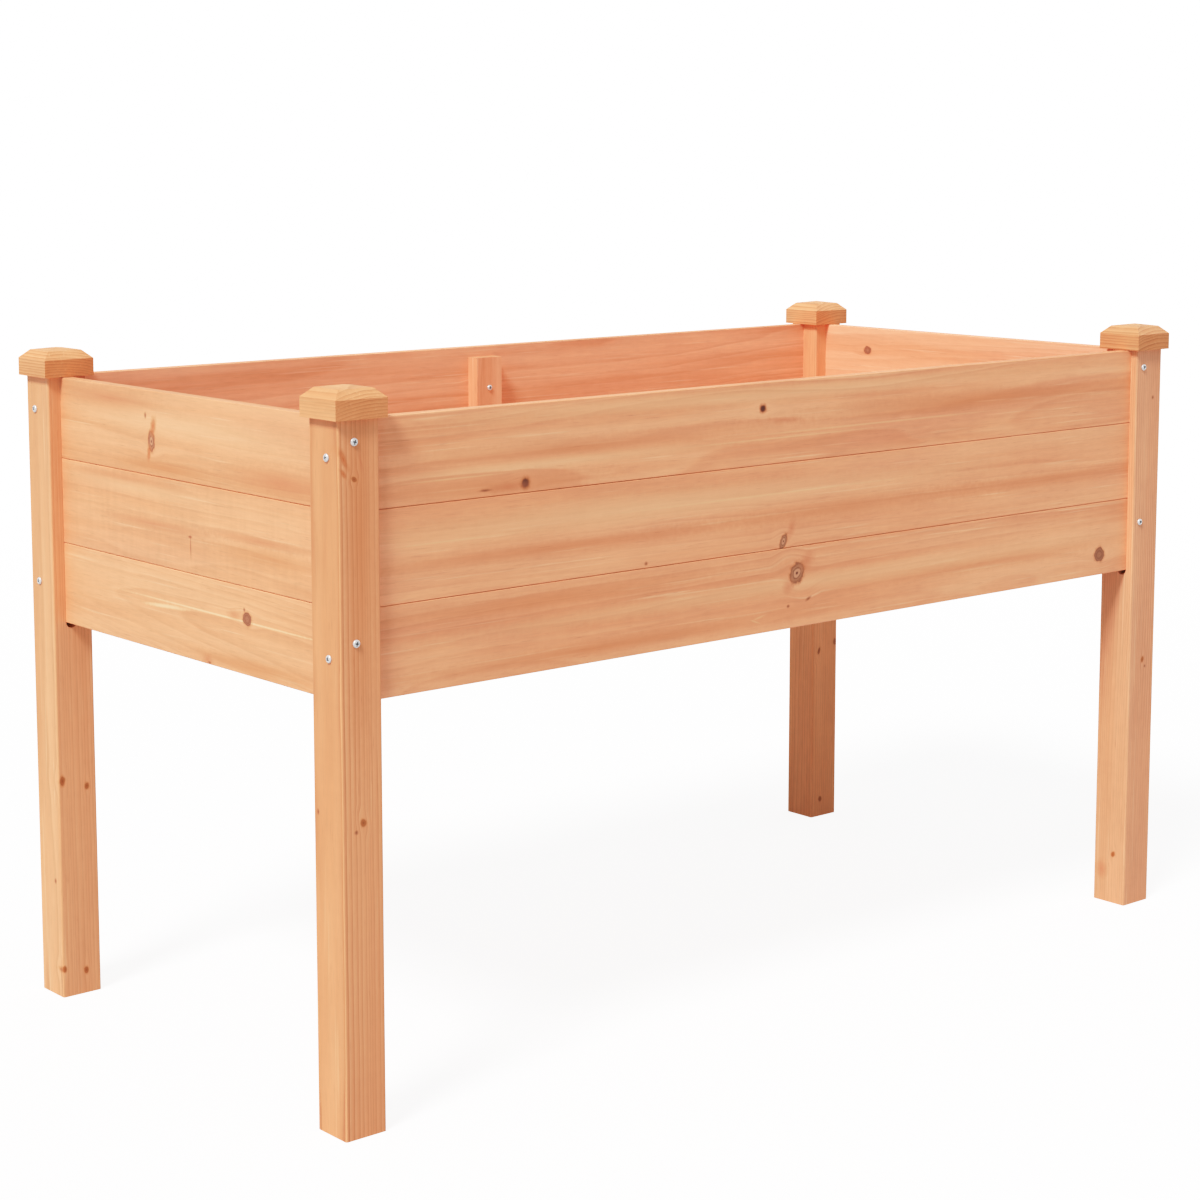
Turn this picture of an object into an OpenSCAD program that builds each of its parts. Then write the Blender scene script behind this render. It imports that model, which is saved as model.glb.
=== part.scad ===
// Raised planter on legs: four square legs with caps, four walls of
// tongue-and-groove boards housed in routed grooves, and a slatted floor.
// Origin on the ground under the middle, +X along the long walls, front at -Y.
// Lengths are in millimetres.

/* [Overall] */
// Length over the outer faces of the legs
plan_length = 1220; // [900:10:1400]
// Width over the outer faces of the legs
plan_width = 594; // [450:2:700]
// Height of the legs, from the ground to the underside of the caps
leg_height = 693; // [550:1:900]

/* [Legs] */
// Side of the square legs
leg_side = 47; // [45:1:52]
// Radius of the legs' long corners
leg_corner_r = 2; // [1:0.5:4]
// Depth of the grooves that house the ends of the boards
housing_depth = 18; // [16:1:20]
// Distance from a leg's outer face to the long walls
long_recess = 9.5; // [8:0.5:11]
// Distance from a leg's outer face to the end walls
end_recess = 15; // [14:0.5:16]

/* [Caps] */
// Overhang of a cap past its leg on each side
cap_overhang = 6; // [3:0.5:10]
// Height of a cap's upright sides
cap_side_h = 19; // [12:1:26]
// Height of the steep bevel above the sides
cap_bevel_h = 9; // [4:0.5:14]
// Width of the steep bevel, seen from above
cap_bevel_w = 9.5; // [4:0.5:14]
// Rise of the shallow pyramid from the bevel to its point
cap_rise = 2.7; // [1:0.1:8]
// Diameter of the dowel that pins a cap to its leg
dowel_d = 8; // [6:1:8]
// Depth of the dowel in the leg
dowel_in_leg = 15; // [8:1:16]
// Depth of the dowel in the cap
dowel_in_cap = 18; // [8:1:20]

/* [Wall boards] */
// Thickness of the wall boards
board_t = 13; // [12:0.5:13]
// Face height of the bottom board, the middle board and the top board
course_h = [89, 93, 88]; // [80:1:100]
// Size of the bevel along each long edge of a board
edge_bevel = 0.7; // [0.5:0.1:2]
// Height of the open joint between the outer faces of two boards
seam_gap = 0.4; // [0.2:0.1:1]
// Thickness of the tongues
tongue_t = 4; // [3:0.5:5]
// Height of the tongues
tongue_h = 6; // [4:0.5:8]

/* [Floor] */
// Height of the ledgers' underside above the lower edge of the walls
ledger_lift = 5.5; // [2:0.5:15]
// Height of the ledgers
ledger_h = 24; // [20:1:30]
// Thickness of the ledgers
ledger_t = 18; // [16:1:18]
// Thickness of the floor slats
slat_t = 12; // [10:1:18]
// Drainage gap between two slats
slat_gap = 8; // [5:0.5:12]

/* [Wall battens] */
// Width of the upright battens that tie the long walls' boards
batten_w = 38; // [30:1:44]
// Thickness of the battens
batten_t = 18; // [15:1:20]
// Distance from the top of a batten to the top of the wall
batten_drop = 12.5; // [5:0.5:40]

/* [Screws] */
// Length of the screws that hold the boards in the legs
leg_screw_l = 45; // [38:1:45]
// Left legs: distance of the screws from the leg's outer corner
left_inset = 18; // [18:0.5:19]
// Right legs: distance of the screws from the leg's inner corner
right_inset = 12; // [10:0.5:12]
// End faces: height of the top screw above the middle of the top board
top_screw_lift = 8.5; // [0:0.5:12]
// Long faces: height of the screws above those of the end faces
long_face_lift = 15; // [12:1:18]
// Length of the screws inside the bed
short_screw_l = 27; // [24:1:29]

/* [Hidden] */
slat_count = 11;
course_count = len(course_h);
half_l = plan_length / 2;
half_w = plan_width / 2;
nudge = 1;              // how far cutting shapes run past a face
play = 0.5;             // assembly gap at the ends of boards and rails
$fn = 48;

// Walls: heights of the courses and planes of the boards
wall_h = course_h[0] + course_h[1] + course_h[2];
wall_z = leg_height - play - wall_h;
course_z = [wall_z, wall_z + course_h[0], wall_z + course_h[0] + course_h[1]];
long_outer = half_w - long_recess;
long_inner = long_outer - board_t;
end_outer = half_l - end_recess;
end_inner = end_outer - board_t;
legs_inner_x = half_l - leg_side;
legs_inner_y = half_w - leg_side;
reach = housing_depth - play;   // how far a board goes into a leg

// Floor
ledger_z = wall_z + ledger_lift;
floor_z = ledger_z + ledger_h;
floor_top = floor_z + slat_t;
slat_w = (2 * (end_inner - play) - (slat_count - 1) * slat_gap) / slat_count;
slat_pitch = slat_w + slat_gap;
slat_half_l = long_inner - play;
slat_screw_spread = 22;
ledger_mid_y = long_inner - ledger_t / 2;

// Screws: [shank radius, head radius, head height]
leg_screw = [2, 4, 2.4];
short_screw = [1.75, 3.5, 2];
leg_screw_z = [wall_z + course_h[0] / 2, course_z[2] + course_h[2] / 2 + top_screw_lift];
dowel_inset = 20;

function side_name(s, low, high) = s < 0 ? low : high;
function corner_name(sx, sy) =
    str(side_name(sy, "front", "back"), "_", side_name(sx, "left", "right"));
function slat_name(i) = str("floor_slat_", i < 10 ? "0" : "", i);

corners = [for (sy = [-1, 1], sx = [-1, 1]) [sx, sy]];
walls = ["front", "back", "left", "right"];
courses = ["bottom", "middle", "top"];

// Puts a shape drawn from an outer corner (+x and +y inwards) at corner sx, sy
module at_corner(sx, sy) {
    translate([sx * half_l, sy * half_w, 0])
        mirror([sx > 0 ? 1 : 0, 0, 0])
            mirror([0, sy > 0 ? 1 : 0, 0])
                children();
}

// Puts a shape of the front or left wall at the wall called name
module at_wall(name) {
    mirror([name == "right" ? 1 : 0, 0, 0])
        mirror([0, name == "back" ? 1 : 0, 0])
            children();
}

// Square outline from the origin with round corners
module rounded_square(side, r) {
    translate([r, 0]) square([side - 2 * r, side]);
    translate([0, r]) square([side, side - 2 * r]);
    for (x = [r, side - r], y = [r, side - r]) translate([x, y]) circle(r);
}

// Groove with a round lower end, opening towards +x, centred on y = 0
module housing() {
    translate([leg_side - housing_depth, -board_t / 2, wall_z])
        cube([housing_depth + nudge, board_t, leg_height]);
    translate([leg_side - housing_depth, 0, wall_z])
        rotate([0, 90, 0]) cylinder(d = board_t, h = housing_depth + nudge);
}

// Screw with a domed cross-recess head, driven along -z through z = 0
module screw(size, length) {
    shank_r = size[0];
    head_r = size[1];
    head_h = size[2];
    tip = 2 * shank_r;
    difference() {
        union() {
            translate([0, 0, tip - length]) cylinder(r = shank_r, h = length - tip);
            translate([0, 0, -length]) cylinder(r1 = shank_r / 8, r2 = shank_r, h = tip);
            rotate_extrude() polygon([[0, 0], [head_r, 0], [head_r, 0.35 * head_h],
                [0.88 * head_r, 0.7 * head_h], [0.6 * head_r, 0.93 * head_h], [0, head_h]]);
        }
        for (turn = [0, 90]) rotate([0, 0, turn])
            translate([-0.55 * head_r, -0.12 * head_r, 0.45 * head_h])
                cube([1.1 * head_r, 0.24 * head_r, head_h]);
    }
}

// Hole for a screw's shank
module shank_hole(size, length) {
    translate([0, 0, -length]) cylinder(r = size[0], h = length + nudge);
}

// Every place of a leg screw, with z pointing out of the leg
module leg_screw_places() {
    for (c = corners, z = leg_screw_z) {
        inset = c[0] < 0 ? left_inset : leg_side - right_inset;
        at_corner(c[0], c[1]) {
            translate([0, inset, z]) rotate([0, -90, 0]) children();
            translate([inset, 0, z + long_face_lift]) rotate([90, 0, 0]) children();
        }
    }
}

module leg_screw_holes() {
    leg_screw_places() shank_hole(leg_screw, leg_screw_l);
}

// Every place of a ledger screw, with z pointing into the bed
module ledger_screw_places() {
    z = ledger_z + ledger_h / 2;
    for (i = [-4.5, -2.5, -0.5, 0.5, 2.5, 4.5], s = [-1, 1])
        translate([i * slat_pitch, s * (long_inner - ledger_t), z]) rotate([s * 90, 0, 0]) children();
    for (i = [-1, 0, 1], s = [-1, 1])
        translate([s * (end_inner - ledger_t), i * legs_inner_y * 0.72, z])
            rotate([0, -s * 90, 0]) children();
}

module ledger_screw_holes() {
    ledger_screw_places() shank_hole(short_screw, short_screw_l);
}

// Every place of a slat screw
module slat_screw_places() {
    for (i = [1:slat_count], dx = [-1, 1], s = [-1, 1])
        translate([slat_x(i) + dx * slat_screw_spread, s * ledger_mid_y, floor_top]) children();
}

function slat_x(i) = (i - (slat_count + 1) / 2) * slat_pitch;

module slat_screw_holes() {
    slat_screw_places() shank_hole(short_screw, short_screw_l);
}

// Every place of a batten screw, one to a board, with z pointing into the bed
module batten_screw_places() {
    heights = [(floor_top + course_z[1]) / 2, course_z[1] + course_h[1] / 2,
        course_z[2] + course_h[2] / 2 - batten_drop / 2];
    for (z = heights, s = [-1, 1])
        translate([0, s * (long_inner - batten_t), z]) rotate([s * 90, 0, 0]) children();
}

module batten_screw_holes() {
    batten_screw_places() shank_hole(short_screw, short_screw_l);
}

module leg(sx, sy) {
    color("burlywood") difference() {
        at_corner(sx, sy) difference() {
            linear_extrude(leg_height) rounded_square(leg_side, leg_corner_r);
            translate([0, long_recess + board_t / 2, 0]) housing();
            translate([end_recess + board_t / 2, 0, 0]) mirror([1, -1, 0]) housing();
            translate([dowel_inset, dowel_inset, leg_height - dowel_in_leg])
                cylinder(d = dowel_d, h = dowel_in_leg + nudge);
        }
        leg_screw_holes();
    }
}

// Outline of a cap from the side
module cap_outline() {
    r = leg_side / 2 + cap_overhang;
    shoulder = r - cap_bevel_w;
    top = cap_side_h + cap_bevel_h;
    polygon([[-r, 0], [r, 0], [r, cap_side_h], [shoulder, top], [0, top + cap_rise],
        [-shoulder, top], [-r, cap_side_h]]);
}

module cap(sx, sy) {
    width = leg_side + 2 * cap_overhang + 2 * nudge;
    color("peachpuff") at_corner(sx, sy) difference() {
        translate([leg_side / 2, leg_side / 2, leg_height]) intersection() {
            rotate([90, 0, 0]) translate([0, 0, -width / 2]) linear_extrude(width) cap_outline();
            rotate([90, 0, 90]) translate([0, 0, -width / 2]) linear_extrude(width) cap_outline();
        }
        translate([dowel_inset, dowel_inset, leg_height - nudge])
            cylinder(d = dowel_d, h = dowel_in_cap + nudge);
    }
}

module cap_dowels() {
    color("tan") for (c = corners) at_corner(c[0], c[1])
        translate([dowel_inset, dowel_inset, leg_height - dowel_in_leg])
            cylinder(d = dowel_d, h = dowel_in_leg + dowel_in_cap);
}

// Cross-section of a board: x from its outer face to its inner face, y upwards
module board_section(height, grooved, tongued) {
    b = edge_bevel;
    t = board_t;
    slack = 0.2;
    shoulder = (t - tongue_t) / 2;
    low = height - seam_gap;
    g0 = shoulder - slack;
    g1 = shoulder + tongue_t + slack;
    top = tongued
        ? [[shoulder, height], [shoulder, low], [b, low], [0, low - b]]
        : [[b, height], [0, height - b]];
    difference() {
        union() {
            polygon(concat([[0, b], [b, 0], [t - b, 0], [t, b], [t, height - b], [t - b, height]],
                top));
            if (tongued) translate([shoulder, height - nudge])
                square([tongue_t, tongue_h + nudge]);
        }
        if (grooved) translate([g0, -nudge]) square([g1 - g0, tongue_h + play + nudge]);
    }
}

// One board of the wall called name; course 0 is the lowest
module wall_board(name, course) {
    long = name == "front" || name == "back";
    length = 2 * ((long ? legs_inner_x : legs_inner_y) + reach);
    section = [course_h[course], course > 0, course < course_count - 1];
    color(long ? "sandybrown" : "wheat") difference() {
        at_wall(name)
            translate([long ? -length / 2 : -end_outer, long ? -long_outer : length / 2,
                course_z[course]])
                rotate([90, 0, long ? 90 : 0]) linear_extrude(length)
                    board_section(section[0], section[1], section[2]);
        leg_screw_holes();
        if (course == 0) ledger_screw_holes();
        if (long) batten_screw_holes();
    }
}

// Rail on the inside of the wall called name, under the floor
module ledger(name) {
    long = name == "front" || name == "back";
    half = (long ? legs_inner_x : legs_inner_y) - play;
    color("tan") difference() {
        at_wall(name)
            if (long) translate([-half, -long_inner, ledger_z]) cube([2 * half, ledger_t, ledger_h]);
            else translate([-end_inner, -half, ledger_z]) cube([ledger_t, 2 * half, ledger_h]);
        ledger_screw_holes();
        slat_screw_holes();
    }
}

// Floor slat i, counted from the left; the end slats are notched round the legs
module floor_slat(i) {
    notch = slat_half_l - legs_inner_y + play;
    color("wheat") difference() {
        translate([slat_x(i) - slat_w / 2, -slat_half_l, floor_z])
            cube([slat_w, 2 * slat_half_l, slat_t]);
        for (c = corners) at_corner(c[0], c[1]) translate([-nudge, -nudge, floor_z - nudge])
            cube([leg_side + play + nudge, leg_side + play + nudge, slat_t + 2 * nudge]);
        slat_screw_holes();
    }
}

// Upright batten inside the front or back wall, standing on the floor
module batten(name) {
    top = wall_z + wall_h - batten_drop;
    color("tan") difference() {
        at_wall(name) translate([-batten_w / 2, -long_inner, floor_top])
            cube([batten_w, batten_t, top - floor_top]);
        batten_screw_holes();
    }
}

module leg_screws() {
    color("silver") leg_screw_places() screw(leg_screw, leg_screw_l);
}

module ledger_screws() {
    color("silver") ledger_screw_places() screw(short_screw, short_screw_l);
}

module slat_screws() {
    color("silver") slat_screw_places() screw(short_screw, short_screw_l);
}

module batten_screws() {
    color("silver") batten_screw_places() screw(short_screw, short_screw_l);
}

for (c = corners) {
    name = corner_name(c[0], c[1]);
    leg(c[0], c[1]);
    cap(c[0], c[1]);
}
for (w = walls) {
    for (i = [0:course_count - 1])
        wall_board(w, i);
    ledger(w);
}
for (i = [1:slat_count]) floor_slat(i);
batten("front");  // front_batten
batten("back");  // back_batten
cap_dowels();
leg_screws();
ledger_screws();
slat_screws();
batten_screws();
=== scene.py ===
"""Studio scene of a raised planter on legs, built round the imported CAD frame.

Every wooden CAD node keeps its mesh and gets solid procedural wood of its own. Caps,
slats, battens and ledgers also get eased edges. The screws are replaced by pan-head
screws with a cross recess. Lengths are in metres, and those given in mm are scaled by MM.
"""
import math
import random
from typing import NamedTuple

import bmesh
import bpy
from mathutils import Matrix, Vector


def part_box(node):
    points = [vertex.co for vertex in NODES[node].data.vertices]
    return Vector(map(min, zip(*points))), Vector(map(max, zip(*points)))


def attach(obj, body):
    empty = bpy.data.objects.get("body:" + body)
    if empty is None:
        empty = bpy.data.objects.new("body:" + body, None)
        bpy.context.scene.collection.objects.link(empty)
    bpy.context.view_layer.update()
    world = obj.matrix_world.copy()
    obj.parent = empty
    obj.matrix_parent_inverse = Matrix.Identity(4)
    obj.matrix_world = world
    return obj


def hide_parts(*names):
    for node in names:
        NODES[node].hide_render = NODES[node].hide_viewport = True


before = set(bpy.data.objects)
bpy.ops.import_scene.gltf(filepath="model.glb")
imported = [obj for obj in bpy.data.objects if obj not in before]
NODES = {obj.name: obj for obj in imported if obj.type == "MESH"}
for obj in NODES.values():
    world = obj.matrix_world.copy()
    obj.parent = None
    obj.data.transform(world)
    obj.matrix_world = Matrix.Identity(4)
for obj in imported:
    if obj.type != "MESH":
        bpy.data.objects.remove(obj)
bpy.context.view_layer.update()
MM = 0.001


# ---------------------------------------------------------------- colours

def srgb(r, g, b, alpha=1.0):
    """Linear colour of an sRGB colour given in 0..255."""
    def linear(c):
        c /= 255
        return c / 12.92 if c <= 0.04045 else ((c + 0.055) / 1.055) ** 2.4
    return (linear(r), linear(g), linear(b), alpha)


def grey(value):
    return (value, value, value, 1.0)


STRAW = srgb(253, 205, 160)
PALE = srgb(247, 179, 134)
WARM = srgb(224, 149, 105)
BLUSH = srgb(216, 142, 108)
LATE_WOOD = srgb(178, 104, 66)
FLECK = srgb(150, 84, 54)

# Factors on a piece's colour
BOARD_TINT = (1.07, 1.04, 1.10)
LEFT_END_TINT = (1.02, 1.03, 1.08)
CAP_TINT = (0.97, 0.95, 0.90)
INSIDE_TINT = (1.03, 1.12, 1.32)            # slats, ledgers and battens
# Painted light: a paler, cooler tint on wood facing the bed offsets the orange light that
# bounces round inside it
BED_SIDE_BOUNCE_OFFSET_TINT = (0.97, 1.10, 1.26, 1.0)     # walls and legs, where they face the soil
SAWN_END_TINT = (0.92, 0.84, 0.76, 1.0)


# ---------------------------------------------------------------- shader graphs

class Graph:
    """Adds nodes to a node tree. An input is a socket, a number or a tuple."""

    def __init__(self, tree):
        self.tree = tree

    def node(self, kind, inputs=(), out=0, **settings):
        """Adds a node, feeds its inputs by index or name, and returns an output."""
        made = self.tree.nodes.new("ShaderNode" + kind)
        for key, value in settings.items():
            setattr(made, key, value)
        pairs = inputs.items() if isinstance(inputs, dict) else enumerate(inputs)
        for key, value in pairs:
            self.feed(made.inputs[key], value)
        return made.outputs[out]

    def feed(self, socket, value):
        if isinstance(value, bpy.types.NodeSocket):
            self.tree.links.new(value, socket)
        else:
            socket.default_value = value

    def math(self, operation, *inputs):
        return self.node("Math", inputs, operation=operation)

    def vector(self, operation, *inputs):
        out = 1 if operation in ("LENGTH", "DOT_PRODUCT") else 0
        return self.node("VectorMath", inputs, out=out, operation=operation)

    def scaled(self, place, *factors):
        return self.vector("MULTIPLY", place, factors)

    def times(self, vector, factor):
        """A vector, socket or tuple, times a socket's number."""
        made = self.vector("SCALE", vector)
        self.feed(made.node.inputs["Scale"], factor)
        return made

    def noise(self, place, detail, roughness=0.5):
        """Value noise, about 0.5 on average."""
        return self.node("TexNoise", {"Vector": place, "Scale": 1.0, "Detail": detail,
                                      "Roughness": roughness})

    def centred(self, noise, depth):
        """Noise brought round zero and scaled to depth."""
        return self.math("MULTIPLY_ADD", noise, depth, -depth / 2)

    def span(self, value, low, high, to_low=0.0, to_high=1.0, smooth=False):
        """Maps low..high to to_low..to_high, and holds the ends."""
        kind = "SMOOTHSTEP" if smooth else "LINEAR"
        return self.node("MapRange", {"Value": value, "From Min": low, "From Max": high,
                                      "To Min": to_low, "To Max": to_high},
                         interpolation_type=kind)

    def mix(self, factor, a, b, blend="MIX"):
        """Mixes two colours."""
        made = self.tree.nodes.new("ShaderNodeMix")
        made.data_type, made.blend_type = "RGBA", blend
        for index, value in ((0, factor), (6, a), (7, b)):
            self.feed(made.inputs[index], value)
        return made.outputs[2]

    def tinted(self, colour, tint):
        return self.mix(1.0, colour, tint, "MULTIPLY")

    def ramp(self, value, stops):
        """Colour ramp through (position, colour) stops: its colour and its alpha."""
        made = self.tree.nodes.new("ShaderNodeValToRGB")
        points = made.color_ramp.elements
        while len(points) < len(stops):
            points.new(1.0)
        for point, (position, colour) in zip(points, stops):
            point.position, point.color = position, colour
        self.feed(made.inputs[0], value)
        return made.outputs[0], made.outputs[1]

    def curve(self, value, points):
        """Number read from (position, number) points."""
        return self.ramp(value, [(at, grey(number)) for at, number in points])[0]

    def split(self, vector):
        return tuple(self.node("SeparateXYZ", [vector]).node.outputs)

    def join(self, x, y, z):
        return self.node("CombineXYZ", [x, y, z])


def new_material(name):
    """Material with an empty node tree, and the graph that fills it."""
    material = bpy.data.materials.new(name)
    material.use_nodes = True
    material.node_tree.nodes.clear()
    return material, Graph(material.node_tree)


def show(g, shader):
    """Makes a shader the surface of the graph's material."""
    output = g.tree.nodes.new("ShaderNodeOutputMaterial")
    g.feed(output.inputs[0], shader)


# ---------------------------------------------------------------- wood

# Noises in the wood: scale per metre along the grain and across it, detail, roughness
GRAIN = {
    "sway": (2.2, 9, 1, 0.5),
    "waver": (9, 60, 1, 0.5),
    "patches": (2.6, 16, 2, 0.5),
    "broad_streaks": (1.5, 30, 3, 0.55),
    "narrow_streaks": (3.2, 170, 2, 0.5),
    "blush": (2.0, 17, 2, 0.5),
    "threads": (7, 330, 2, 0.5),
    "flecks": (42, 1300, 1, 0.5),
    "fibres": (26, 1100, 2, 0.6),
    "figure": (95, 14, 3, 0.6),
    "clouds": (8, 24, 4, 0.6),
    "fuzz": (55, 380, 3, 0.65),
}
SEED_STEP = (1.37, 2.11, 3.73)      # how far apart two seeds lie in the noise
SWAY_DEPTH, WAVER_DEPTH = 16 * MM, 1.6 * MM
UNEVEN_SCALE, UNEVEN_DEPTH = 55.0, 2.4

# One ring from the inside out: early wood is pale, and late wood ends it sharply
LATE_RING = ((0.0, 0.05), (0.35, 0.0), (0.72, 0.35), (0.90, 1.0), (0.965, 0.85),
             (1.0, 0.05))
EARLY_RING = ((0.0, 0.2), (0.06, 1.0), (0.20, 0.25), (0.5, 0.0))

# How much of its colour each layer puts over the wood, and how far it changes its shade
BLUSH_COVER, LATE_COVER, EARLY_COVER = 0.60, 0.62, 0.34
THREAD_COVER, FLECK_COVER = 0.38, 0.30
FIBRE_SHADE, CLOUD_SHADE, FUZZ_SHADE = 0.16, 0.26, 0.20


def solid_wood():
    """Node group of planed softwood, solid through a piece.

    Place is the point in the piece: along, across and deep. Pith is where the middle
    of the tree runs at the piece's middle, and Tilt how it leans on the way.
    """
    tree = bpy.data.node_groups.new("solid_wood", "ShaderNodeTree")
    for name, kind in (("Place", "Vector"), ("Seed", "Float"), ("Pith", "Vector"),
                       ("Tilt", "Vector"), ("Ring", "Float"), ("Strength", "Float"),
                       ("Streak", "Float"), ("Figure", "Float"), ("Sway", "Float"),
                       ("Mottle", "Float"), ("Tint", "Color")):
        tree.interface.new_socket(name, in_out="INPUT", socket_type="NodeSocket" + kind)
    for name, kind in (("Color", "Color"), ("Roughness", "Float"), ("Height", "Float")):
        tree.interface.new_socket(name, in_out="OUTPUT", socket_type="NodeSocket" + kind)
    g = Graph(tree)
    given = tree.nodes.new("NodeGroupInput").outputs
    made = tree.nodes.new("NodeGroupOutput").inputs

    # A place of its own in the noise for every piece
    place = g.vector("ADD", given["Place"], g.times(SEED_STEP, given["Seed"]))

    def noise(kind):
        along, across, detail, roughness = GRAIN[kind]
        return g.noise(g.scaled(place, along, across, across), detail, roughness)

    # Distance from the pith, which leans and wanders along the piece
    lean = g.times(given["Tilt"], g.split(given["Place"])[0])
    offset = g.vector("SUBTRACT", given["Place"], g.vector("ADD", given["Pith"], lean))
    offset = g.scaled(offset, 0.0, 1.0, 1.0)
    sway = g.math("MULTIPLY", g.centred(noise("sway"), SWAY_DEPTH), given["Sway"])
    waver = g.centred(noise("waver"), WAVER_DEPTH)
    radius = g.math("ADD", g.vector("LENGTH", offset), g.math("ADD", sway, waver))

    # Rings of uneven width
    uneven = g.node("TexNoise", {"W": g.math("MULTIPLY", radius, UNEVEN_SCALE),
                                 "Scale": 1.0, "Detail": 1.0}, noise_dimensions="1D")
    phase = g.math("ADD", g.math("DIVIDE", radius, given["Ring"]),
                   g.math("MULTIPLY", uneven, UNEVEN_DEPTH))
    turn = g.math("FRACT", phase)
    patchy = g.span(noise("patches"), 0.36, 0.66, 0.35, 1.0)
    patchy = g.math("MULTIPLY", patchy, given["Strength"])
    late = g.math("MULTIPLY", g.curve(turn, LATE_RING), patchy)
    early = g.math("MULTIPLY", g.curve(turn, EARLY_RING), patchy)

    # Soft streaks of colour along the grain, broad and narrow, and a redder blush
    streak = g.math("ADD", g.math("MULTIPLY", noise("broad_streaks"), 0.8),
                    g.math("MULTIPLY", noise("narrow_streaks"), 0.2))
    streak = g.math("SUBTRACT", g.span(streak, 0.34, 0.66, smooth=True), 0.5)
    colour = g.mix(g.math("MULTIPLY_ADD", streak, given["Streak"], 0.5), PALE, WARM)
    blush = g.span(noise("blush"), 0.50, 0.76, smooth=True)
    blush = g.math("MULTIPLY", blush, g.math("MULTIPLY", given["Streak"], BLUSH_COVER))
    colour = g.mix(blush, colour, BLUSH)

    # Rings, threads of pale wood and resin flecks over them
    colour = g.mix(g.math("MULTIPLY", late, LATE_COVER), colour, LATE_WOOD)
    colour = g.mix(g.math("MULTIPLY", early, EARLY_COVER), colour, STRAW)
    thread = g.span(noise("threads"), 0.62, 0.76, 0.0, THREAD_COVER)
    colour = g.mix(thread, colour, STRAW)
    fleck = g.span(noise("flecks"), 0.67, 0.80, 0.0, FLECK_COVER)
    colour = g.mix(fleck, colour, FLECK)

    # Lighter and darker by fibres, figure across the grain, clouds and fuzz
    fibre = noise("fibres")
    figure = g.math("SUBTRACT", noise("figure"), 0.5)
    figure = g.math("MULTIPLY", figure, given["Figure"])
    mottle = g.math("ADD", g.centred(noise("clouds"), CLOUD_SHADE),
                    g.centred(noise("fuzz"), FUZZ_SHADE))
    mottle = g.math("MULTIPLY", mottle, given["Mottle"])
    shade = g.math("MULTIPLY_ADD", fibre, FIBRE_SHADE, 1 - FIBRE_SHADE / 2)
    shade = g.math("ADD", g.math("ADD", shade, figure), mottle)
    colour = g.tinted(colour, g.join(shade, shade, shade))
    g.feed(made["Color"], g.tinted(colour, given["Tint"]))

    g.feed(made["Roughness"], g.math("MULTIPLY_ADD", fibre, 0.22, 0.42))
    relief = g.math("ADD", g.math("MULTIPLY", fibre, 0.6), g.math("MULTIPLY", late, 0.5))
    g.feed(made["Height"], relief)
    return tree


# Marks from the middle (0) to past the edge (1): (position, colour with its cover)
MARKS = {
    "dark": [(0.0, srgb(94, 48, 36)), (0.36, srgb(112, 60, 42)),
             (0.52, srgb(158, 90, 56, 0.9)), (0.72, srgb(196, 116, 74, 0.5)),
             (1.0, srgb(210, 130, 86, 0.0))],
    "ringed": [(0.0, srgb(112, 62, 44)), (0.07, srgb(120, 68, 48)),
               (0.14, srgb(206, 146, 112)), (0.27, srgb(214, 156, 122)),
               (0.38, srgb(150, 94, 68)), (0.46, srgb(184, 126, 94)),
               (0.60, srgb(172, 112, 82)), (0.70, srgb(148, 88, 60, 0.9)),
               (0.82, srgb(204, 124, 80, 0.45)), (1.0, srgb(212, 132, 88, 0.0))],
    "disc": [(0.0, srgb(144, 88, 64)), (0.08, srgb(176, 118, 90)),
             (0.30, srgb(168, 110, 82)), (0.42, srgb(152, 95, 70)),
             (0.52, srgb(170, 112, 84)), (0.68, srgb(138, 82, 58, 0.9)),
             (0.78, srgb(200, 126, 84, 0.45)), (1.0, srgb(214, 140, 94, 0.0))],
    "amber": [(0.0, srgb(158, 92, 50)), (0.35, srgb(184, 106, 58, 0.95)),
              (0.55, srgb(168, 92, 50, 0.8)), (0.75, srgb(212, 134, 82, 0.45)),
              (1.0, srgb(220, 144, 92, 0.0))],
    "thread": [(0.0, srgb(250, 198, 150, 0.50)), (0.5, srgb(250, 196, 148, 0.35)),
               (1.0, srgb(248, 192, 146, 0.0))],
    "flame": [(0.0, srgb(254, 216, 166, 0.85)), (0.5, srgb(254, 214, 164, 0.6)),
              (1.0, srgb(252, 208, 156, 0.0))],
    "speck": [(0.0, srgb(136, 76, 50, 0.85)), (0.4, srgb(158, 92, 62, 0.7)),
              (1.0, srgb(196, 120, 84, 0.0))],
    "swirl": [(0.0, srgb(196, 96, 52, 0.85)), (0.25, srgb(212, 122, 74, 0.75)),
              (0.45, srgb(198, 108, 64, 0.6)), (0.7, srgb(218, 138, 92, 0.4)),
              (1.0, srgb(222, 146, 100, 0.0))],
    "stain": [(0.0, srgb(206, 118, 82, 0.55)), (0.5, srgb(210, 128, 90, 0.35)),
              (1.0, srgb(214, 140, 100, 0.0))],
    "band": [(0.0, srgb(210, 126, 80, 0.50)), (0.5, srgb(212, 130, 84, 0.28)),
             (1.0, srgb(216, 138, 94, 0.0))],
    "pale": [(0.0, srgb(252, 196, 152, 0.45)), (0.5, srgb(250, 192, 148, 0.25)),
             (1.0, srgb(246, 188, 144, 0.0))],
}
KNOTS = ("dark", "ringed", "disc", "amber")     # the grain bends round these marks only
MARK_EDGE = 1.4                 # a mark has faded out at this many of its radii
RAGGED_SCALE, RAGGED_DEPTH = 210, 0.70
BEND_REACH = 2.0                # how many of a knot's radii its grain bends over
BEND_STRETCH = 2.0              # how much further that goes along the grain
BEND_MOST = 0.65

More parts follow.
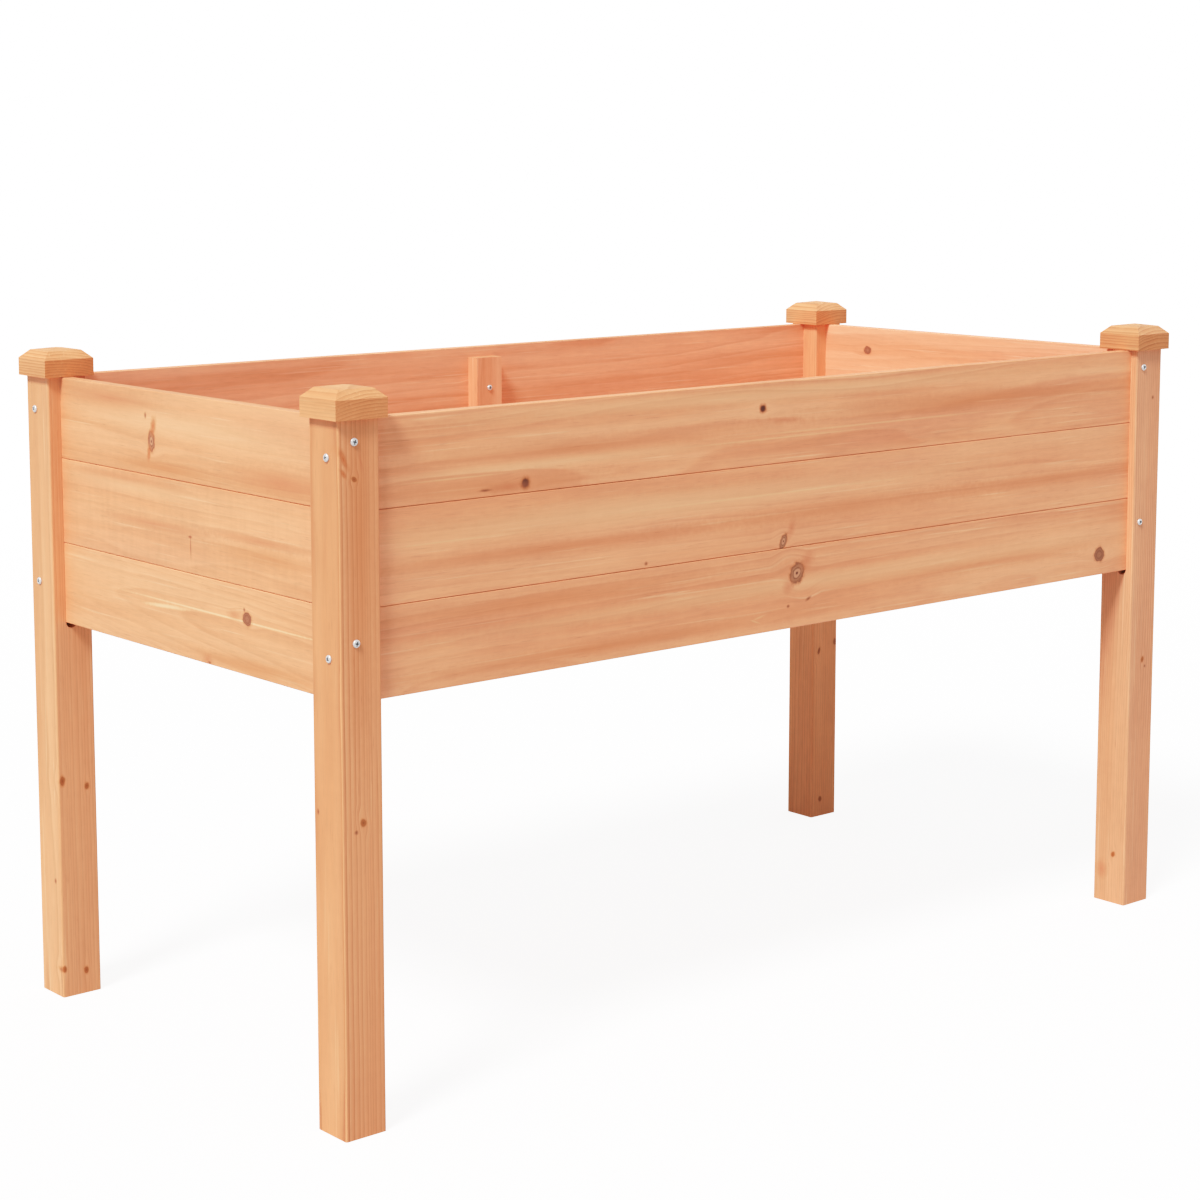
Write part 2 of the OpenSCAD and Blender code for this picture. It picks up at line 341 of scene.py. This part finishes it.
# Along, across and deep, as axes of the row frame, for each way the grain may run
AXES = {"X": (0, 2, 1), "Y": (1, 2, 0), "Z": (2, 0, 1)}


def longest(radii):
    return max(range(3), key=lambda axis: radii[axis])


def mark_distance(g, row, at, radii, tilt, axis):
    """Distance from a mark in its own radii. The mark is turned by tilt about axis."""
    turn = [0.0, 0.0, 0.0]
    turn[axis] = math.radians(tilt)
    inside = g.node("Mapping", {"Vector": row, "Location": at, "Rotation": turn,
                                "Scale": radii}, vector_type="TEXTURE")
    return g.vector("LENGTH", inside)


def bent_grain(g, row, centre, order, marks):
    """The point in the piece, along, across and deep, with the grain bent round knots."""
    parts = g.split(g.vector("SUBTRACT", row, tuple(centre)))
    place = [parts[axis] for axis in order]
    for at, radii, tilt, look in marks:
        if look not in KNOTS:
            continue
        normal = longest(radii)
        reach = [BEND_REACH * r for r in radii]
        reach[order[0]] *= BEND_STRETCH
        far = mark_distance(g, row, at, reach, tilt, normal)
        near = g.span(far, 0.25, 1.3, BEND_MOST, 0.0, smooth=True)
        side = 1 if order[1] != normal else 2
        gap = g.math("SUBTRACT", place[side], at[order[side]] - centre[order[side]])
        place[side] = g.math("SUBTRACT", place[side], g.math("MULTIPLY", gap, near))
    return g.join(*place)


def marked(g, row, colour, marks):
    """A piece's colour with its knots, stains and threads over it."""
    if not marks:
        return colour
    ragged = g.noise(g.scaled(row, RAGGED_SCALE, RAGGED_SCALE, RAGGED_SCALE), 3)
    ragged = g.centred(ragged, RAGGED_DEPTH)
    for at, radii, tilt, look in marks:
        edge = [MARK_EDGE * r for r in radii]
        far = mark_distance(g, row, at, edge, tilt, longest(radii))
        far = g.math("ADD", far, g.math("MULTIPLY", ragged, far))
        tone, cover = g.ramp(far, MARKS[look])
        colour = g.mix(cover, colour, tone)
    return colour


BED_HALF_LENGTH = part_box("right_board_top")[0].x
BED_HALF_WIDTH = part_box("back_board_top")[0].y
BED_FLOOR = max(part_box(name)[1].z for name in NODES if name.startswith("floor_slat"))
INWARD = {"front": (0, 1, 0), "back": (0, -1, 0), "left": (1, 0, 0), "right": (-1, 0, 0)}


def bed_side(g, row, facing, name):
    """How much a point of a wall or a leg faces the soil, or None for other pieces."""
    if "board" in name:
        inward = INWARD[name.split("_")[0]]
    elif name.startswith("leg_"):
        inward = (1 if name.endswith("left") else -1, 1 if "front" in name else -1, 0)
    else:
        return None
    faces = g.span(g.vector("DOT_PRODUCT", facing, inward), 0.4, 0.8)
    if name.startswith("leg_"):     # a leg also has these faces outside the bed
        x, y, z = g.split(row)
        for inside in (g.math("LESS_THAN", g.math("ABSOLUTE", x), BED_HALF_LENGTH),
                       g.math("LESS_THAN", g.math("ABSOLUTE", y), BED_HALF_WIDTH),
                       g.math("GREATER_THAN", z, BED_FLOOR)):
            faces = g.math("MULTIPLY", faces, inside)
    return faces


def wood(name, lumber, seed):
    """Material of one piece of wood, in the piece's own grain."""
    material, g = new_material("wood_" + name)
    low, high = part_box(name)
    order = AXES[lumber.grain]
    marks = marks_of(name, lumber)
    row = g.node("TexCoord").node.outputs["Object"]
    facing = g.node("TexCoord").node.outputs["Normal"]

    group = g.tree.nodes.new("ShaderNodeGroup")
    group.node_tree = WOOD
    for key, value in (("Place", bent_grain(g, row, (low + high) / 2, order, marks)),
                       ("Seed", seed),
                       ("Pith", (0.0, lumber.pith[0] * MM, lumber.pith[1] * MM)),
                       ("Tilt", (0.0, *lumber.tilt)), ("Ring", lumber.ring * MM),
                       ("Strength", lumber.strength), ("Streak", lumber.streak),
                       ("Figure", lumber.figure), ("Sway", lumber.sway),
                       ("Mottle", lumber.mottle), ("Tint", (*lumber.tint, 1.0))):
        g.feed(group.inputs[key], value)
    colour = marked(g, row, group.outputs["Color"], marks)

    # Wood that faces the bed is painted paler and cooler: painted light that offsets the
    # orange light bouncing round inside the bed
    inner = bed_side(g, row, facing, name)
    if inner is not None:
        colour = g.mix(inner, colour, g.tinted(colour, BED_SIDE_BOUNCE_OFFSET_TINT))

    # Sawn ends are darker and rougher than planed faces
    axis = [0.0, 0.0, 0.0]
    axis[order[0]] = 1.0
    end = g.math("ABSOLUTE", g.vector("DOT_PRODUCT", facing, axis))
    end = g.span(end, 0.75, 0.95)
    colour = g.mix(end, colour, g.tinted(colour, SAWN_END_TINT))
    roughness = g.math("MULTIPLY_ADD", end, 0.15, group.outputs["Roughness"])

    bump = g.node("Bump", {"Strength": 0.22, "Distance": 0.25 * MM,
                           "Height": group.outputs["Height"]})
    show(g, g.node("BsdfPrincipled", {"Base Color": colour, "Roughness": roughness,
                                      "Normal": bump, "Specular IOR Level": 0.35}))
    return material


# ---------------------------------------------------------------- the timber

BOARD_DEEP = 60 * MM     # a wall board's marks run right through it
LEG_DEEP = 14 * MM       # a leg's marks run a little way in


class Lumber(NamedTuple):
    """How one piece was sawn.

    The pith and the ring width are in mm. Front and left hold the marks on the faces
    towards -Y and -X: place along the face, height and two radii, all in mm in the row
    frame, then the look and the tilt in degrees. Marks holds marks that are ready.
    """
    grain: str
    pith: tuple
    tilt: tuple = (0.0, 0.0)
    ring: float = 4.0
    strength: float = 0.5
    streak: float = 1.0
    figure: float = 0.05
    sway: float = 1.0
    mottle: float = 1.0
    tint: tuple = (1.0, 1.0, 1.0)
    front: tuple = ()
    left: tuple = ()
    marks: tuple = ()


def marks_of(name, lumber):
    """All marks of a piece, as (place, radii, tilt, look) in metres."""
    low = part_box(name)[0]
    deep = LEG_DEEP if name.startswith("leg_") else BOARD_DEEP
    marks = []
    for x, z, rx, rz, look, *tilt in lumber.front:
        marks.append(((x * MM, low.y, z * MM), (rx * MM, deep, rz * MM), sum(tilt), look))
    for y, z, ry, rz, look, *tilt in lumber.left:
        marks.append(((low.x, y * MM, z * MM), (deep, ry * MM, rz * MM), sum(tilt), look))
    return marks + list(lumber.marks)


# The pieces whose grain and marks were chosen one by one
CHOSEN = {
    "front_board_top": Lumber("X", (-30, 130), (0.010, 0.0), 5.0, 0.40, 0.75,
                              tint=BOARD_TINT, front=(
        (-300, 645, 260, 9, "band"),
        (-330, 631, 200, 5, "pale"),
        (300, 652, 280, 10, "band"),
        (-80, 680, 420, 8, "pale"),
        (-420, 615, 130, 12, "band"),
        (-57, 665, 4.8, 5.0, "dark"),
        (-24, 651, 24, 2.6, "stain", 3),
        (-381, 614, 6.2, 6.2, "dark"),
        (-402, 612, 24, 4.5, "stain"),
        (-431, 611, 8, 1.4, "speck"),
        (110, 637, 190, 1.0, "thread", 0.5),
        (-20, 632, 120, 0.9, "thread", -0.6),
        (-470, 626, 60, 0.8, "thread", 0.8))),
    "front_board_middle": Lumber("X", (55, 120), (-0.012, 0.0), 6.0, 0.28, 0.55,
                                 tint=BOARD_TINT, front=(
        (-330, 545, 300, 7, "band"),
        (60, 548, 220, 12, "band"),
        (420, 549, 220, 8, "band"),
        (-200, 575, 420, 14, "pale"),
        (-25, 519, 4.4, 8.0, "ringed", 22),
        (-13, 532, 5, 11, "stain", 20),
        (-222, 516, 2.2, 2.0, "speck"),
        (-60, 572, 190, 1.0, "thread", -0.4),
        (-470, 566, 70, 0.8, "thread", -0.6))),
    "front_board_bottom": Lumber("X", (-50, 150), (0.014, 0.0), 5.0, 0.36, 0.65,
                                 tint=BOARD_TINT, front=(
        (-340, 495, 260, 8, "band"),
        (-280, 437, 300, 8, "band"),
        (280, 460, 230, 8, "band"),
        (0, 470, 460, 9, "pale"),
        (-4, 482, 9.5, 12, "ringed", 38),
        (11, 494, 8, 12, "stain", 40),
        (-17, 469, 8, 8, "stain", 40),
        (-17, 447, 2.4, 1.8, "speck"),
        (14, 452, 4.5, 1.8, "speck", -25),
        (511, 447, 9.0, 8.2, "disc"),
        (-60, 440, 9, 0.9, "thread", -12),
        (-66, 436, 7, 0.8, "thread", 20))),
    "left_board_top": Lumber("Y", (40, -140), (0.015, 0.0), 5.0, 0.30, 0.55,
                             tint=LEFT_END_TINT, left=(
        (-180, 622, 100, 15, "stain"),
        (150, 678, 100, 12, "stain"),
        (40, 615, 90, 6, "band"),
        (0, 660, 200, 12, "pale"),
        (61, 640, 6.0, 10, "ringed"),
        (57, 656, 5, 10, "swirl", 14),
        (66, 627, 3.5, 9, "swirl", 12),
        (72, 666, 2, 3, "speck"))),
    "left_board_middle": Lumber("Y", (-60, -160), (0.0, 0.0), 6.0, 0.24, 0.5, 0.16,
                                tint=LEFT_END_TINT, left=(
        (-140, 559, 90, 5, "stain"),
        (60, 554, 110, 6, "stain"),
        (-160, 545, 100, 8, "band"),
        (120, 595, 120, 7, "stain"),
        (110, 588, 130, 7, "pale"),
        (-11, 549, 3.5, 1.3, "speck"),
        (-12, 538, 0.8, 12, "speck"))),
    "left_board_bottom": Lumber("Y", (-6, -58), (0.075, -0.02), 4.6, 0.32, 0.5,
                                tint=(1.02, 1.05, 1.10), left=(
        (-80, 476, 170, 1.0, "flame", -2),
        (40, 470.5, 38, 2.0, "flame", -3),
        (-130, 432, 110, 7, "band", 1),
        (-115, 479, 7.4, 6.8, "disc", 12),
        (-110, 488, 2, 2, "speck"),
        (-92, 480, 12, 5, "stain"),
        (-40, 427, 10, 6, "stain"),
        (-44, 424.5, 3, 1.3, "speck"))),
    "leg_front_left": Lumber("Z", (-300, 0), (0.0, 0.0), 4.2, 0.95, 0.3, sway=0.1,
                             mottle=0.5, tint=(1.0, 0.95, 0.93), front=(
        (-586.5, 590, 16, 190, "band"),
        (-592, 637, 3.6, 2.4, "amber", 35),
        (-604, 657, 3.4, 12, "swirl", -24),
        (-604, 643, 2.4, 6, "swirl", -35),
        (-584, 652, 1.6, 11, "stain", -15),
        (-586, 309, 3.6, 4.2, "amber", -20),
        (-594, 301, 2, 2.2, "speck")), left=(
        (-257, 316, 1.6, 3, "speck"),
        (-254.5, 10, 0.7, 24, "speck"))),
    "leg_back_left": Lumber("Z", (-140, 12), (-0.004, 0.002), 4.0, 0.5, 0.3, sway=0.3,
                            mottle=0.6, tint=(1.01, 1.05, 1.08), front=(
        (-605, 246, 3.5, 6, "amber"),
        (-575, 236, 3.0, 4, "amber"),
        (-608, 32, 2.5, 4, "amber"),
        (-581, 26, 3.0, 4.5, "amber")), left=(
        (262, 131, 2.2, 3, "speck"),
        (253.5, 20, 0.6, 20, "speck"))),
    "leg_front_right": Lumber("Z", (-130, 95), (0.006, -0.004), 2.7, 0.85, 0.35,
                              tint=(0.97, 0.99, 1.09), front=(
        (588, 309, 3, 4, "amber", 15),
        (593, 300, 1.8, 2, "speck"),
        (595, 634, 2, 2.4, "speck")), left=(
        (-279, 62, 3, 4, "amber", 25),
        (-262, 40, 8, 12, "stain"))),
    # This leg's redder tint is painted light: the warm glow bounced from the bed into the
    # shade under it
    "leg_back_right": Lumber("Z", (90, -90), (0.010, 0.0), 3.4, 0.45, 0.4,
                             tint=(1.06, 1.01, 0.96), front=(
        (575, 237, 2.5, 5, "amber", 20),
        (606, 246, 3, 5, "amber"),
        (580, 24, 3, 4, "amber"))),
}
# Painted sheen: a cap's top is paled where the light falls on it
CAP_SHEEN_MARK = (30 * MM, 30 * MM, 6 * MM)       # radii of the paler top of a cap


def is_cap(name):
    return name.startswith("cap_") and name != "cap_dowels"


def toned(tone, tint):
    return tuple(tone * part for part in tint)


def drawn_lumber(name, draw):
    """A likely cut for a piece that has no entry of its own."""
    side = draw.choice((-1, 1))
    if is_cap(name):
        low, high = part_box(name)
        top = ((low.x + high.x) / 2, (low.y + high.y) / 2, high.z)
        return Lumber("Y", (-150 + draw.uniform(-20, 20), 15 * side), (0.0, 0.0),
                      draw.uniform(2.8, 3.6), 1.0, 0.3, sway=0.4,
                      # the front right cap is toned darker: a painted shadow
                      tint=toned(0.88 if name == "cap_front_right" else 1.0, CAP_TINT),
                      # the pale mark on the cap's top is a painted sheen
                      marks=((top, CAP_SHEEN_MARK, 0.0, "pale"),))
    if name == "cap_dowels":
        return Lumber("Z", (40, 40), ring=3.0)
    if name.startswith(("left_", "right_", "floor_slat")):
        grain = "Y"
    else:
        grain = "Z" if name.endswith("_batten") else "X"
    pith = (draw.uniform(-60, 60), side * draw.uniform(60, 170))
    tilt = (draw.uniform(-0.03, 0.03), draw.uniform(-0.01, 0.01))
    marks = drawn_marks(name, draw) if "board" in name or "slat" in name else ()
    tone = 1.0 + draw.uniform(-0.04, 0.04)
    tint = toned(tone, BOARD_TINT if "board" in name else INSIDE_TINT)
    return Lumber(grain, pith, tilt, draw.uniform(3.6, 6.0), draw.uniform(0.3, 0.6), 0.8,
                  tint=tint, marks=marks)


def drawn_marks(name, draw):
    """A knot or two somewhere on the wide face of a board or a slat."""
    low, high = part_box(name)
    size = high - low
    thin, wide, long = sorted(range(3), key=lambda axis: size[axis])
    count = draw.choice((1, 1, 2))
    marks = []
    for look in draw.sample(("dark", "disc", "ringed", "speck", "speck"), count):
        at = [0.0, 0.0, 0.0]
        at[thin] = (low[thin] + high[thin]) / 2
        at[wide] = low[wide] + size[wide] * draw.uniform(0.2, 0.8)
        at[long] = low[long] + size[long] * draw.uniform(0.1, 0.9)
        r = draw.uniform(2, 3) if look == "speck" else draw.uniform(4.5, 7)
        radii = [0.0, 0.0, 0.0]
        radii[thin], radii[wide], radii[long] = BOARD_DEEP, r * MM, 1.15 * r * MM
        marks.append((tuple(at), tuple(radii), draw.uniform(-25, 25), look))
    return tuple(marks)


def ease_edges(obj, width, segments):
    """Rounds a piece's sharp edges a little."""
    bevel = obj.modifiers.new("eased_edges", "BEVEL")
    bevel.width = width
    bevel.segments = segments
    bevel.limit_method = "ANGLE"
    bevel.angle_limit = math.radians(25)


def dress_timber():
    wooden = sorted(name for name in NODES if not name.endswith("_screws"))
    for seed, name in enumerate(wooden, start=1):
        lumber = CHOSEN.get(name) or drawn_lumber(name, random.Random(name))
        obj = NODES[name]
        material = wood(name, lumber, seed)
        for slot in obj.material_slots:
            slot.material = material
        if is_cap(name):
            ease_edges(obj, 0.9 * MM, 3)
        elif name.startswith("floor_slat") or name.endswith(("_batten", "_ledger")):
            ease_edges(obj, 1.0 * MM, 2)


# ---------------------------------------------------------------- screws

# Head radius, head height, shank radius and length of each kind, in mm
SCREWS = {
    "leg_screws": (4.0, 2.4, 2.0, 45.0),
    "ledger_screws": (3.5, 2.0, 1.75, 27.0),
    "slat_screws": (3.5, 2.0, 1.75, 27.0),
    "batten_screws": (3.5, 2.0, 1.75, 27.0),
}
ROUND_STEPS, CROWN_STEPS = 28, 7
RIM_HEIGHT = 0.32               # upright part of a head's side, as a share of its height
CROWN_FULLNESS = 0.62           # 1 would be an ellipse, and less is fuller
RECESS_HALF_WIDTH, RECESS_HALF_LENGTH = 0.16, 0.60      # shares of the head's radius
RECESS_FLOOR, RECESS_TOP = -0.10, 1.2                   # shares of the head's height
RECESS_ANGLES = (20, 110)
PLATING = (srgb(214, 216, 218), srgb(240, 240, 239))
RECESS_SHADE = srgb(96, 100, 112)


def zinc():
    """Satin zinc plating with blotches and fine grain, with painted shade in the recess and
    round the rim.
    """
    material, g = new_material("screw_zinc")
    row = g.node("TexCoord").node.outputs["Object"]
    blotch = g.noise(g.scaled(row, 700, 700, 700), 3)
    grain = g.noise(g.scaled(row, 4200, 4200, 4200), 2)
    # Painted shade: the plating turns dark where ambient occlusion finds the recess and the
    # rim against the wood
    open_sky = g.node("AmbientOcclusion", {"Distance": 1.6 * MM}, out=1, samples=8)
    colour = g.mix(g.span(open_sky, 0.25, 0.75), RECESS_SHADE, g.mix(blotch, *PLATING))
    bump = g.node("Bump", {"Strength": 0.15, "Distance": 0.02 * MM, "Height": grain})
    show(g, g.node("BsdfPrincipled", {
        "Base Color": colour, "Metallic": 0.45, "Normal": bump,
        "Roughness": g.math("MULTIPLY_ADD", blotch, 0.25, 0.26)}))
    return material


def lathe(profile):
    """Closed bmesh of a profile of (radius, height) points turned round Z, bottom first."""
    mesh = bmesh.new()
    rings = []
    for radius, height in profile:
        if radius == 0:
            rings.append([mesh.verts.new((0, 0, height))] * ROUND_STEPS)
            continue
        turns = (2 * math.pi * i / ROUND_STEPS for i in range(ROUND_STEPS))
        rings.append([mesh.verts.new((radius * math.cos(t), radius * math.sin(t), height))
                      for t in turns])
    for lower, upper in zip(rings, rings[1:]):
        for i in range(ROUND_STEPS):
            j = (i + 1) % ROUND_STEPS
            corners = dict.fromkeys((lower[i], lower[j], upper[j], upper[i]))
            mesh.faces.new(list(corners))
    return mesh


def pan_profile(head_r, head_h, shank_r, length):
    """Half outline of a pan-head screw from its point to the crown of its head."""
    tip = 4 * shank_r
    crown = []
    for i in range(CROWN_STEPS):
        a = math.pi / 2 * i / CROWN_STEPS
        crown.append((head_r * math.cos(a) ** CROWN_FULLNESS,
                      head_h * (RIM_HEIGHT + (1 - RIM_HEIGHT) * math.sin(a))))
    return [(0.0, -length), (0.9 * shank_r, tip - length), (shank_r, 1.2 * tip - length),
            (shank_r, 0.0), (0.96 * head_r, 0.0), (head_r, 0.08 * head_h), *crown,
            (0.0, head_h)]


def recess_blade(head_r, head_h, turn):
    """Tapered blade that cuts one arm of the cross recess."""
    half_l, half_w = RECESS_HALF_LENGTH * head_r, RECESS_HALF_WIDTH * head_r
    mesh = bmesh.new()
    rows = []
    for z, grow in ((RECESS_FLOOR * head_h, 0.45), (RECESS_TOP * head_h, 1.12)):
        x, y = half_l * grow, half_w * (0.7 + 0.4 * grow)
        rows.append([mesh.verts.new(corner) for corner in
                     ((-x, -y, z), (x, -y, z), (x, y, z), (-x, y, z))])
    mesh.faces.new(rows[0][::-1])
    mesh.faces.new(rows[1])
    for i in range(4):
        j = (i + 1) % 4
        mesh.faces.new((rows[0][i], rows[0][j], rows[1][j], rows[1][i]))
    bmesh.ops.rotate(mesh, verts=mesh.verts, matrix=Matrix.Rotation(turn, 3, "Z"))
    return mesh


def to_object(mesh, name):
    data = bpy.data.meshes.new(name)
    bmesh.ops.recalc_face_normals(mesh, faces=mesh.faces)
    mesh.to_mesh(data)
    mesh.free()
    obj = bpy.data.objects.new(name, data)
    bpy.context.scene.collection.objects.link(obj)
    return obj


def screw_mesh(head_r, head_h, shank_r, length):
    """Mesh of one pan-head screw along +Z, with its seat at z = 0."""
    body = to_object(lathe(pan_profile(head_r, head_h, shank_r, length)), "blank")
    blades = [to_object(recess_blade(head_r, head_h, math.radians(turn)), "blade")
              for turn in RECESS_ANGLES]
    for blade in blades:
        cut = body.modifiers.new("recess", "BOOLEAN")
        cut.operation, cut.solver, cut.object = "DIFFERENCE", "EXACT", blade
    graph = bpy.context.evaluated_depsgraph_get()
    made = bpy.data.meshes.new_from_object(body.evaluated_get(graph))
    for obj in [body, *blades]:
        bpy.data.objects.remove(obj)
    return made


def islands(obj):
    """Separate solids of a mesh, as lists of points."""
    mesh = bmesh.new()
    mesh.from_mesh(obj.data)
    bmesh.ops.remove_doubles(mesh, verts=mesh.verts, dist=1e-6)
    left = set(mesh.verts)
    found = []
    while left:
        todo = [left.pop()]
        points = []
        while todo:
            vert = todo.pop()
            points.append(vert.co.copy())
            near = {edge.other_vert(vert) for edge in vert.link_edges} & left
            left -= near
            todo.extend(near)
        found.append(points)
    mesh.free()
    return found


def first_corner(points):
    """Sorts solids the same way in every run."""
    return tuple(round(c, 4) for c in min(points, key=tuple))


def seat_of(points, length):
    """Where a CAD screw's seat is, and the way its head points."""
    low = Vector(map(min, zip(*points)))
    high = Vector(map(max, zip(*points)))
    size, middle = high - low, (low + high) / 2
    axis = longest(size)
    across = [i for i in range(3) if i != axis]
    reach = 0.45 * min(size[i] for i in across)
    head = [p for p in points if max(abs(p[i] - middle[i]) for i in across) > reach]
    sign = 1 if sum(p[axis] for p in head) / len(head) > middle[axis] else -1
    out = Vector((0, 0, 0))
    out[axis] = sign
    middle[axis] = (low[axis] if sign > 0 else high[axis]) + sign * length
    return middle, out


def detail_screws(material):
    """Puts a detailed screw where every CAD screw is."""
    for name, sizes in SCREWS.items():
        head_r, head_h, shank_r, length = (size * MM for size in sizes)
        one = screw_mesh(head_r, head_h, shank_r, length)
        every = bmesh.new()
        draw = random.Random(name)
        for points in sorted(islands(NODES[name]), key=first_corner):
            seat, out = seat_of(points, length)
            turned = out.to_track_quat("Z", "Y").to_matrix().to_4x4()
            spin = Matrix.Rotation(draw.uniform(0, math.pi / 2), 4, "Z")
            copy = one.copy()
            copy.transform(Matrix.Translation(seat) @ turned @ spin)
            every.from_mesh(copy)
            bpy.data.meshes.remove(copy)
        obj = to_object(every, name + "_detail")
        obj.data.materials.append(material)
        for face in obj.data.polygons:
            face.use_smooth = True
        obj.data.set_sharp_from_angle(angle=math.radians(32))
        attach(obj, "root")
        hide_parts(name)


# ---------------------------------------------------------------- studio

# Film response: scene light to print, as (light, print) pairs up to WHITE
WHITE = 1.5
FILM = ((0.09, 0.070), (0.164, 0.150), (0.30, 0.30), (0.434, 0.451), (0.694, 0.672),
        (0.93, 0.80), (1.12, 0.90))

FLOOR_RADIUS = 30.0
FLOOR_GAP = 0.2 * MM            # the legs' ends stay clear of the floor's surface
FLOOR_BOUNCE = 0.58             # how pale the floor is for light, not for the camera
FLOOR_GLOW = 0.76               # how much of the floor is plain white at the planter
FLOOR_FADE = (0.8, 4.5)         # where that starts to grow, and where it is all white
AMBIENT = 0.52

LENS, SHIFT = 77.8, -0.12
STANDPOINT = (-1.964, -2.259, 0.960)
YAW, PITCH = 40.43, -7.2


def set_film():
    view = bpy.context.scene.view_settings
    view.view_transform = "Standard"
    view.use_curve_mapping = True
    mapping = view.curve_mapping
    mapping.white_level = (WHITE, WHITE, WHITE)
    for light, shown in FILM:
        mapping.curves[3].points.new(light / WHITE, shown)
    mapping.update()


def make_floor():
    """Pale floor that melts into the white of the room away from the planter.

    The camera sees it paler than the light does, so its shadows stay faint.
    """
    mesh = bmesh.new()
    bmesh.ops.create_circle(mesh, cap_ends=True, segments=96, radius=FLOOR_RADIUS)
    floor = to_object(mesh, "studio_floor")
    floor.location.z = -FLOOR_GAP
    material, g = new_material("pale_floor")
    floor.data.materials.append(material)
    seen = g.node("LightPath").node.outputs["Is Camera Ray"]
    tone = g.span(seen, 0.0, 1.0, FLOOR_BOUNCE, 1.0)
    diffuse = g.node("BsdfDiffuse", {"Color": g.join(tone, tone, tone)})
    glow = g.node("Emission", {"Color": grey(1.0), "Strength": WHITE})
    far = g.vector("LENGTH", g.node("TexCoord").node.outputs["Object"])
    pale = g.span(far, *FLOOR_FADE, FLOOR_GLOW, 1.0, smooth=True)
    show(g, g.node("MixShader", [g.math("MULTIPLY", pale, seen), diffuse, glow]))


def make_room():
    """White room: it lights everything evenly, and reads as white behind the planter."""
    world = bpy.data.worlds.new("white_room")
    bpy.context.scene.world = world
    world.use_nodes = True
    g = Graph(world.node_tree)
    seen = g.node("LightPath").node.outputs["Is Camera Ray"]
    background = world.node_tree.nodes["Background"]
    background.inputs["Color"].default_value = grey(1.0)
    g.feed(background.inputs["Strength"], g.span(seen, 0.0, 1.0, AMBIENT, WHITE))


def link_aimed(name, data, forward):
    """Puts a light or camera into the scene, looking along forward."""
    obj = bpy.data.objects.new(name, data)
    bpy.context.scene.collection.objects.link(obj)
    obj.rotation_mode = "QUATERNION"
    obj.rotation_quaternion = Vector(forward).to_track_quat("-Z", "Y")
    return obj


def sun(name, travels, strength, softness):
    """A far soft light. Travels is the way its light goes."""
    light = bpy.data.lights.new(name, "SUN")
    light.energy = strength * math.pi
    light.angle = math.radians(softness)
    link_aimed(name, light, travels)


def make_camera():
    """A long lens at standing height, in front of the left end, looking slightly down."""
    data = bpy.data.cameras.new("camera")
    data.sensor_width = 36.0
    data.lens = LENS
    data.shift_y = SHIFT
    yaw, pitch = math.radians(YAW), math.radians(PITCH)
    forward = (math.cos(pitch) * math.sin(yaw), math.cos(pitch) * math.cos(yaw),
               math.sin(pitch))
    camera = link_aimed("camera", data, forward)
    camera.location = STANDPOINT
    bpy.context.scene.camera = camera


make_camera()
set_film()
make_floor()
make_room()
sun("key", (0.66, 0.24, -0.83), 1.0, 16)
sun("right_fill", (-0.97, -0.10, -0.22), 0.22, 50)
WOOD = solid_wood()
dress_timber()
detail_screws(zinc())
